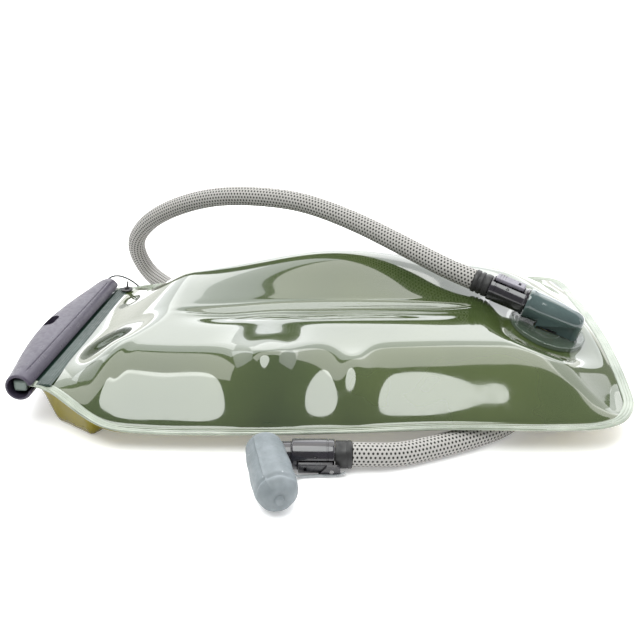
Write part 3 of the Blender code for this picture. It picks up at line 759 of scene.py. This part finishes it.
def lower_height(x, y, weld):
    """The lower film: flat on the floor, lifted at its welds and where the hose lies under it."""
    side = 1.0
    pouch = smoothstep((-112 - x) / 14) * smoothstep((-20 - y) / 25)
    for gap in edge_gaps(x, y):
        side = side * smoothstep((gap - WELD_WIDTH + 3 * pouch) / (24 - 17 * pouch))
    down = side * smoothstep((mouth_distance(x, y) - 9.0 + 4 * pouch) / (48 - 36 * pouch))
    height = (weld - WELD_GAP / 2) * (1 - down) + FILM * down
    beneath = hose_line[hose_line[:, 2] < 12][::2]
    hump = (HOSE_DIAMETER + 1.6 + FILM) * smoothstep((26 - plan_gap(beneath, x, y)) / 17)
    return np.minimum(np.maximum(height, hump), weld - WELD_GAP / 2)


def film(name, height_of, rows, cols, offset, material):
    u = np.concatenate([np.linspace(0, 0.05, rows // 12, endpoint=False),
                        np.linspace(0.05, 0.93, rows, endpoint=False),
                        np.linspace(0.93, 1.0, rows // 8)])
    v = np.concatenate([np.linspace(0, 0.08, cols // 8, endpoint=False),
                        np.linspace(0.08, 0.92, cols, endpoint=False),
                        np.linspace(0.92, 1.0, cols // 8)])
    grid = drawn_inside(coons(u, v))
    grid[..., 2] = height_of(grid[..., 0], grid[..., 1], grid[..., 2])
    mesh = grid_mesh(name, placed(grid))
    obj = new_object(name, mesh, material)
    shell = obj.modifiers.new("Thickness", "SOLIDIFY")
    shell.thickness = FILM * 0.8 * MM
    shell.offset = offset
    bake(obj)
    return obj


upper = film("bag_upper_film", upper_height, 250, 140, 1.0, film_green)
drill(upper, 8.4, 8, -8, flange_frame)
smooth(upper, 0)
lower = film("bag_lower_film", lower_height, 150, 90, -1.0, film_olive)
stand_in(upper, "upper_film", "bag")
stand_in(lower, "lower_film", "bag")


def weld_strip():
    """The welded margin: a flat band with raised weld lines, round the front, end and rear."""
    edge = outline()
    flat = edge[:, :2]
    inward = inward_of(edge)
    section = []
    for w in np.linspace(-0.3, 5.6, 40):
        lines = sum(np.exp(-((w - c) / 0.42) ** 2) for c in (1.0, 2.5, 4.0))
        ends = min(1.0, max(0.0, (w + 0.3) / 0.35)) * min(1.0, max(0.0, (5.6 - w) / 0.8))
        section.append((w, (0.62 + 0.30 * lines) * ends ** 0.5))
    full = section + [(w, -h) for w, h in reversed(section[1:-1])]
    points = np.empty((len(edge), len(full), 3))
    for k, (w, h) in enumerate(full):
        points[:, k, :2] = flat + inward * w
        points[:, k, 2] = edge[:, 2] + h
    mesh = grid_mesh("perimeter_weld", placed(points), wrap=True)
    close_ends(mesh)
    look = Look("weld_film", IOR=1.5, Coat_Weight=0.4, Coat_Roughness=0.05)
    cloud = look.noise(60.0)
    look.colour(cloud, (0.27, 0.31, 0.25), (0.38, 0.42, 0.35))
    look.gloss(400.0, 0.10, 0.22)
    look.feed("Alpha", look.range(cloud, 0.78, 0.88, 0.3, 0.7))
    return new_object("perimeter_weld", mesh, look.material)


weld = weld_strip()
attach(weld, "bag")

# --- Closure -----------------------------------------------------------------------------------

SLIDER_RADIUS, SLIDER_ARCH, SLIDER_BORE, SLIDER_SLOT = 7.5, 8.5, 6.1, 3.6


def slider_shell():
    """The slider: a bar whose back arches out, with a long sunk line and rounded end rims."""
    along = np.concatenate([np.array([0.0, 0.15, 0.45, 0.9]),
                            np.linspace(1.6, closure_length - 4, 130),
                            closure_length - np.array([3.0, 2.0, 1.1, 0.5, 0.15, 0.0])])
    angle = np.linspace(0, math.tau, 241)[:-1]
    out = np.cos(angle)
    points = np.empty((len(along), len(angle), 3))
    for i, z in enumerate(along):
        middle = 2 * z / closure_length - 1
        arch = SLIDER_ARCH * max(0.0, 1 - middle * middle) ** 1.3
        near = 0.94 + 0.06 * min(1.0, z / 0.9) ** 0.5
        tip = (closure_length - z) / 7.0
        far = 0.86 + 0.14 * min(1.0, tip) ** 0.6
        scale = min(near, far)
        groove = 0.45 * np.exp(-((angle - 4.36) / 0.05) ** 2) * smoothstep(
            (min(z - 5, closure_length - 9 - z)) / 5)
        radius = SLIDER_RADIUS - groove
        points[i, :, 0] = -(radius * out + arch * np.maximum(0.0, out) ** 0.6) * scale
        lift = np.where(out > 0, np.abs(np.sin(angle)) ** (1 - 0.6 * arch / SLIDER_ARCH),
                        np.abs(np.sin(angle)))
        points[i, :, 1] = radius * np.sign(np.sin(angle)) * lift * scale
        points[i, :, 2] = z
    mesh = grid_mesh("slider_shell", points * MM, wrap=True)
    close_ends(mesh)
    shell = new_object("slider_shell", mesh, satin_purple, closure_frame)
    drill(shell, SLIDER_BORE, 170, -10, closure_frame)
    cut(shell, box("slot", (12, SLIDER_SLOT, 190), closure_frame, centre=(8, 0, 78)))
    hole = frame_at(CLOSURE_FRONT + closure_along * (closure_length / 2) - closure_bagward * 11.4,
                    closure_bagward.cross(closure_along), closure_along)
    cut(shell, oval("hole", 15.0, 7.5, 30.0, hole))
    smooth(shell, 38)
    return shell


def prism(name, corners, low_z, high_z, matrix):
    """A straight prism over a ring of (x, y) corners in the frame's plane."""
    bm = bmesh.new()
    rims = [[bm.verts.new((x * MM, y * MM, z * MM)) for x, y in corners]
            for z in (low_z, high_z)]
    bm.faces.new(rims[0])
    bm.faces.new(rims[1][::-1])
    for k in range(len(corners)):
        bm.faces.new((rims[0][k], rims[0][k - 1], rims[1][k - 1], rims[1][k]))
    bmesh.ops.recalc_face_normals(bm, faces=bm.faces)
    mesh = bpy.data.meshes.new(name)
    bm.to_mesh(mesh)
    bm.free()
    return new_object(name, mesh, None, matrix)


def oval(name, long, wide, deep, matrix, steps=40):
    """A straight-sided bar with half-round ends, along the frame's X."""
    corners = []
    for k in range(steps):
        angle = math.tau * (k + 0.5) / steps
        corners.append((math.copysign((long - wide) / 2, math.cos(angle))
                        + wide / 2 * math.cos(angle), wide / 2 * math.sin(angle)))
    return prism(name, corners, -deep / 2, deep / 2, matrix)


slider = slider_shell()
stand_in(slider, "closure_slider", "slider")


def mouth_band():
    """The stiff welded band along the closure, with fine raised lines along its length."""
    section = []
    for w in np.linspace(8.2, 16.6, 60):
        ends = min(1.0, (w - 8.1) / 0.5) * min(1.0, max(0.02, (16.7 - w) / 1.4))
        section.append((w, (0.95 + 0.12 * math.sin(w * 4.2)) * ends ** 0.6))
    full = section + [(w, -h) for w, h in reversed(section)]
    stations = np.linspace(4.0, closure_length - 3.0, 220)
    points = np.empty((len(stations), len(full), 3))
    for k, (w, h) in enumerate(full):
        points[:, k] = np.stack([np.full_like(stations, w), np.full_like(stations, h),
                                 stations], axis=1)
    mesh = grid_mesh("mouth_band", points * MM, wrap=True)
    close_ends(mesh)
    look = Look("mouth_film", IOR=1.48)
    cloud = look.noise(45.0, 3.0)
    look.colour(cloud, (0.008, 0.022, 0.016), (0.020, 0.044, 0.034))
    look.gloss(300.0, 0.28, 0.5)
    look.feed("Alpha", look.range(cloud, 0.90, 0.97, 0.3, 0.7))
    return new_object("mouth_band", mesh, look.material, closure_frame)


band = mouth_band()
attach(band, "bag")

# --- Port --------------------------------------------------------------------------------------

base = FILM + 0.3
deck = base + 1.6 + 0.3
foot_frame = frame_at(PORT_BASE - PORT_AXIS * 3, port_normal, PORT_AXIS)

flange = turned("port_disc", [
    (22.4, base + 2.5), (22.75, base + 2.4), (22.95, base + 2.1), (23.0, base + 1.8),
    (23.0, base + 0.2), (22.8, base), (8.2, base), (8.2, -2.2), (6.2, -2.2), (6.2, base + 1.6),
    (11.0, base + 1.6), (11.3, base + 1.45), (11.9, base + 1.45), (12.2, base + 1.6),
    (20.4, base + 1.6), (20.9, base + 1.8), (21.3, base + 2.3), (21.7, base + 2.5)],
    flange_frame, clear_flange, steps=128, ring=True)
stand_in(flange, "port_flange", "bag")

hood_top = [(0, 0), (8.5, 0), (8.85, -0.1), (9.05, -0.35), (9.1, -0.7), (9.1, -2.0),
            (9.0, -2.4), (8.8, -2.8)]
hood_tail = [(8.72, 8), (8.5, 2), (8.0, -3.5), (7.2, -9), (6.9, -11.5), (6.4, -14), (5.9, -15.5),
             (5.2, -16.6), (4.3, -17.4), (3.2, -18), (1.7, -18.3), (0, -18.4)]
cowl = turned("port_hood", raised(hood_top, PORT_MOUTH) + hood_tail, bore_frame, teal, steps=112)
cut(cowl, turned("foot", [(0, PORT_HEIGHT), (7.0, PORT_HEIGHT), (7.0, deck + 0.4),
                          (6.7, deck), (0, deck)], foot_frame), "UNION")
cut(cowl, box("tail", (4.0, 9.6, PORT_HEIGHT - deck), flange_frame, bevel=0.8,
              centre=(-15.0, 0, (PORT_HEIGHT + deck) / 2)), "UNION")
skirt_side = [(7.0, 8.3), (2.0, 8.3), (-3.5, 7.8), (-9, 7.0), (-11.5, 6.7), (-14, 6.2),
              (-15.5, 5.7), (-16.6, 5.0), (-17.4, 4.1), (-18, 3.0), (-18.3, 1.5)]
skirt_outline = skirt_side + [(x, -y) for x, y in reversed(skirt_side)]
cut(cowl, prism("skirt", skirt_outline, deck, PORT_HEIGHT + 1.0, flange_frame), "UNION")
cut(cowl, turned("bore", [(0, 20), (5.4, 20), (5.4, 1.0), (4.8, 0.4), (4.8, -12), (0, -12)],
                 bore_frame))
drill(cowl, 3.6, PORT_HEIGHT, deck - 3, foot_frame, steps=48)
cut(cowl, turned("seat", [(5.9, deck + 1.1), (5.9, deck - 1), (4.3, deck - 1),
                          (4.3, deck + 1.1)], foot_frame, ring=True, steps=48))
side_frame = frame_at(PORT_BASE + port_normal * PORT_HEIGHT, port_side, PORT_AXIS)
recess = [(-14.4, 0.2), (-14.4, -12.0), (6.4, -12.0), (6.4, -7.6)]
for near, far in ((-14.0, -5.0), (5.0, 14.0)):
    cut(cowl, prism("recess", recess, near, far, side_frame))
smooth(cowl, 32)
stand_in(cowl, "port_cowl", "bag")

# --- Plug and drinking end ---------------------------------------------------------------------

PIN_BORE = 0.95  # radius of the bore for a lever's pin


def release_lever(prefix, host, seat, middle, look):
    """A rocking lever let into the host on the frame's X side, with its pocket and pin bore."""
    cut(host, box("pocket", (6.0, 8.8, 19.0), seat, centre=(6.6, 0, middle)))
    rocker = seat @ Matrix.Translation((5.0 * MM, 0, middle * MM))
    pin = rocker @ Matrix.Rotation(math.radians(-90), 4, "X")
    drill(host, PIN_BORE, 5.9, -5.9, pin, steps=32)
    plate = box(prefix + "_lever_tab", (2.2, 8.0, 18.0), rocker, look, centre=(3.0, 0, 0),
                bevel=0.7, segments=5)
    cut(plate, box("lug", (3.6, 4.4, 3.4), rocker, centre=(0.7, 0, 0), bevel=0.5), "UNION")
    drill(plate, PIN_BORE, 6, -6, pin, steps=32)
    cut(plate, box("slot", (8, 3.2, 1.6), rocker, centre=(4, 0, -5.2), bevel=0.3))
    if prefix == "valve":
        at_middle = seat @ Matrix.Translation((0, 0, middle * MM))
        outward = at_middle @ Matrix(((0, 0, 1, 0), (0, -1, 0, 0), (1, 0, 0, 0), (0, 0, 0, 1)))
        thumb = [(9.0, 3.9), (11.0, 4.0), (12.6, 2.6), (12.8, -3.6), (11.6, -5.2), (2.5, -5.2),
                 (1.5, -3.9), (6.0, 3.9)]
        cut(plate, prism("thumb", thumb, 8.8, 10.0, outward), "UNION")
        eye = at_middle @ Matrix.Translation((8.4 * MM, 3.1 * MM, 8.3 * MM)) @ Vector(
            (0.66, -0.756, 0)).to_track_quat("Z", "X").to_matrix().to_4x4()
        drill(plate, 1.15, 6, -6, eye, steps=40)
    for k in range(3 if prefix == "plug" else 0):
        cut(plate, box("grip", (0.8, 6.2, 0.5), rocker, centre=(4.1, 0, 3.6 + 1.6 * k)))
    smooth(plate)
    smooth(host)
    stand_in(plate, prefix + "_release_lever", prefix + "_lever")


plug_profile = [
    (2.4, 33.0), (3.9, 33.0), (4.3, 30.5), (3.7, 30.2), (4.3, 27.6), (3.7, 27.3), (3.7, 23.6),
    (7.05, 23.6), (7.4, 23.45), (7.6, 23.2), (7.65, 22.8), (7.65, 21.0), (7.45, 20.8),
    (7.45, 20.2), (7.65, 20.0), (7.65, 2.5), (7.75, 2.1), (8.05, 1.95), (8.2, 1.75), (8.2, 0.7),
    (8.1, 0.45), (7.9, 0.3), (4.9, 0.3), (4.9, -7.0), (3.9, -7.0), (3.9, -9.0), (4.9, -9.0),
    (4.9, -13.6), (4.7, -14.1), (4.3, -14.5), (2.4, -14.5)]
plug = turned("plug_shell", raised(plug_profile, PORT_MOUTH), bore_frame, black_gloss, steps=112,
              ring=True)
release_lever("plug", plug, bore_frame, PORT_MOUTH + 13.0, lever_grey)
stand_in(plug, "plug_body", "plug")

collar_profile = [(6.4, 34.0), (6.75, 33.9), (6.9, 33.6), (6.9, 31.7), (6.75, 31.45),
                  (6.3, 31.2), (6.3, 30.4), (6.75, 30.2), (6.9, 29.9), (6.9, 28.7),
                  (6.75, 28.4), (6.3, 28.2), (6.3, 27.4), (6.75, 27.2), (6.9, 26.9),
                  (6.9, 24.4), (6.8, 24.05), (6.5, 23.9), (4.7, 23.9), (4.7, 34.0)]
plug_ring = turned("plug_collar_ring", raised(collar_profile, PORT_MOUTH), bore_frame,
                   black_matte, ring=True)
stand_in(plug_ring, "plug_collar", "plug")

high, low = VALVE_RIGHT, VALVE_LEFT
valve_ring = turned("valve_collar_ring", [
    (6.7, high + 8.9), (7.0, high + 8.75), (7.2, high + 8.4), (7.2, high + 6.9),
    (7.0, high + 6.7), (7.0, high + 6.2), (7.2, high + 6.0), (7.2, high + 1.1),
    (7.1, high + 0.6), (6.9, high + 0.3), (4.6, high + 0.3), (4.6, high + 8.9)],
    valve_frame, black_matte, ring=True)
stand_in(valve_ring, "valve_collar", "bag")

connector = turned("valve_connector_shell", [
    (2.4, high + 7.6), (3.9, high + 7.6), (4.2, high + 5.0), (3.7, high + 4.8), (3.7, high),
    (7.3, high), (7.7, high - 0.12), (7.95, high - 0.4), (8.0, high - 0.8),
    (8.0, high - 3.0), (7.8, high - 3.2), (7.8, high - 3.8), (8.0, high - 4.0),
    (8.0, low + 0.9), (7.9, low + 0.4), (7.5, low), (5.9, low), (5.9, low + 6.2),
    (2.4, low + 6.2)], valve_frame, black_gloss, steps=112, ring=True)
release_lever("valve", connector, valve_frame, -1.2, lever_black)
stand_in(connector, "valve_connector", "bag")

elbow = turned("valve_elbow_shell", [
    (2.4, low + 5.6), (4.9, low + 5.6), (4.9, low + 3.9), (3.9, low + 3.9), (3.9, low + 2.1),
    (4.9, low + 2.1), (4.9, low - 0.3), (6.4, low - 0.3), (6.6, low - 0.5), (6.6, low - 6.8),
    (6.4, low - 7.0), (2.4, low - 7.0)], valve_frame, black_gloss, ring=True)
cut(elbow, turned("barrel", [(0, 12.6), (6.8, 12.6), (7.0, 12.45), (7.1, 12.2), (7.1, 1.4),
                             (6.95, 0.95), (6.6, 0.6), (0, 0.6)], cover_frame), "UNION")
drill(elbow, 3.0, 13.6, 2.6, cover_frame, steps=48)
smooth(elbow)
stand_in(elbow, "valve_elbow", "swivel")


def ribbed(obj, seat, radius, depth, count, low_z, high_z):
    """Sinks lengthways grip grooves into a turned piece between two heights."""
    inverse = seat.inverted() @ obj.matrix_world
    back = inverse.inverted()
    for vert in obj.data.vertices:
        spot = inverse @ vert.co
        r = math.hypot(spot.x, spot.y)
        if r > radius * MM and low_z * MM < spot.z < high_z * MM:
            swing = 0.5 + 0.5 * math.cos(count * math.atan2(spot.y, spot.x))
            fade = min(1.0, (spot.z / MM - low_z) / 1.2, (high_z - spot.z / MM) / 1.2)
            shrink = 1 - depth * MM * swing ** 2 * max(0.0, fade) / r
            vert.co = back @ Vector((spot.x * shrink, spot.y * shrink, spot.z))


twist = turned("twist_ring", [(3.2, 21.0), (6.5, 21.0), (6.75, 20.9), (6.9, 20.6)]
               + [(6.9, 20.6 - 0.4 * k) for k in range(1, 18)]
               + [(6.9, 13.4), (6.8, 13.1), (6.6, 12.95), (3.2, 12.95)], cover_frame,
               sleeve_grey, steps=192, ring=True)
ribbed(twist, cover_frame, 6.7, 0.35, 24, 13.6, 20.4)
bite = turned("bite_bulb", [
    (0, 41.0), (1.8, 40.95), (3.0, 40.8), (3.9, 40.4), (4.6, 39.8), (5.2, 39.0), (5.6, 37.9),
    (5.9, 36.5), (6.1, 33), (6.25, 29.5), (6.4, 26.0), (6.55, 25.0), (6.8, 24.3), (6.9, 23.8),
    (6.9, 21.7), (6.8, 21.4), (6.6, 21.3), (0, 21.3)], cover_frame, bite_silicone)
for vert in bite.data.vertices:
    vert.co.y *= 1 - 0.42 * float(smoothstep((vert.co.z / MM - 27) / 11))
cut(bite, box("slit", (6.5, 0.35, 4.0), cover_frame, centre=(0, 0, 40.6)))
smooth(bite)
stand_in(twist, "twist_sleeve", "mouthpiece")
stand_in(bite, "bite_valve", "mouthpiece")


def cover_shell():
    """The rubber cover: a soft sleeve with a moulding line along its front and faint flats,
    a round-cornered end with a shallow cross fold, and a small button."""
    outside = [(0, 48.2), (1.3, 48.18), (1.9, 48.1), (2.2, 47.85), (2.3, 47.2), (2.5, 46.8),
               (3.5, 46.75), (5.4, 46.6), (7.0, 45.6), (8.3, 44.2), (9.4, 42.6), (10.1, 40.7),
               (10.6, 38.5), (10.8, 36.0), (10.9, 33.0), (10.8, 26.0), (10.6, 19.0),
               (10.35, 12.0), (10.1, 8.0), (9.85, 5.0), (9.7, 3.4), (9.6, 2.6), (9.4, 2.2),
               (9.1, 2.05)]
    inside = [(8.6, 2.05), (8.3, 2.3), (8.2, 3.0), (8.5, 5.0), (8.8, 8.0),
              (9.1, 14.0), (9.4, 26.0), (9.4, 33.0), (8.9, 38.0), (7.6, 41.8), (5.2, 44.4),
              (0, 45.6)]
    outer = smooth_curve([(r, 0, z) for r, z in outside], 120, 12)
    inner = smooth_curve([(r, 0, z) for r, z in inside], 60, 12)
    around = 160
    angle = np.linspace(0, math.tau, around + 1)[:-1]
    rings = []
    for r, _, z in outer:
        body = float(smoothstep((z - 2) / 6) * smoothstep((46.2 - z) / 4))
        seam = 0.75 * np.exp(-((angle - 0.55) / 0.055) ** 2) * body
        left = 0.30 * np.exp(-((angle - 2.9) / 0.09) ** 2) * body
        flats = 0.16 * np.cos(7 * angle + 0.6 + 0.25 * math.sin(z / 6.0)) * body
        dents = 0.14 * np.sin(z / 2.3 + 2.2 * np.sin(angle)) * body
        fold = (0.35 * math.exp(-((z - 42.2) / 1.1) ** 2) - 0.9 * math.exp(
            -((z - 39.8) / 1.0) ** 2)) * np.clip(np.cos(angle - 0.3), 0, 1)
        rr = r + (seam + left + flats + dents + fold) * (r > 2.6)
        rings.append(np.stack([rr * np.cos(angle), rr * np.sin(angle),
                               np.full_like(angle, z)], axis=1))
    for r, _, z in inner:
        rings.append(np.stack([r * np.cos(angle), r * np.sin(angle),
                               np.full_like(angle, z)], axis=1))
    mesh = grid_mesh("cover_sleeve", np.array(rings) * MM, wrap=True)
    close_seams(mesh)
    sleeve = new_object("cover_sleeve", mesh, cover_rubber, cover_frame)
    cut(sleeve, box("notch", (14.6, 14.0, 31.0), cover_frame, bevel=2.0,
                    centre=(VALVE_Z - COVER_REAR.z, -9.0, -1.6)))
    smooth(sleeve, 40)
    return sleeve


cover = cover_shell()
stand_in(cover, "valve_cover", "cover")

STRAP_ROUTE = [(-12.4, -111.6, 4.2), (-10.5, -110.6, 2.1), (-6, -109.4, 1.3), (0, -108.8, 1.3),
               (6, -108.6, 1.3), (11, -108.2, 1.5), (14, -107.8, 2.6)]
strap_line = eased(smooth_curve(STRAP_ROUTE, 90, 40), 8)
strap = tube("cover_tie", strap_line,
             lambda a, t: 0.80 / np.sqrt((np.cos(t) / 1.25) ** 2 + (np.sin(t) / 0.8) ** 2) * 0.9,
             28, strap_rubber)
stand_in(strap, "cover_strap", "bag")

# --- Small pieces kept from the CAD ------------------------------------------------------------

for node, look in (("closure_bead", bead_look), ("tether_eyelet", black_matte),
                   ("port_seal_ring", seal_rubber), ("port_spring", bright_steel),
                   ("port_poppet", poppet_white), ("plug_o_ring", seal_rubber),
                   ("plug_lever_pin", bright_steel), ("valve_lever_pin", bright_steel),
                   ("swivel_o_ring", seal_rubber)):
    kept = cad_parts[node]
    kept.data.materials.clear()
    kept.data.materials.append(look)
    smooth(kept, 40)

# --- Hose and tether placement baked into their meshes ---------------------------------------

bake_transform(hose)
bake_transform(tether)
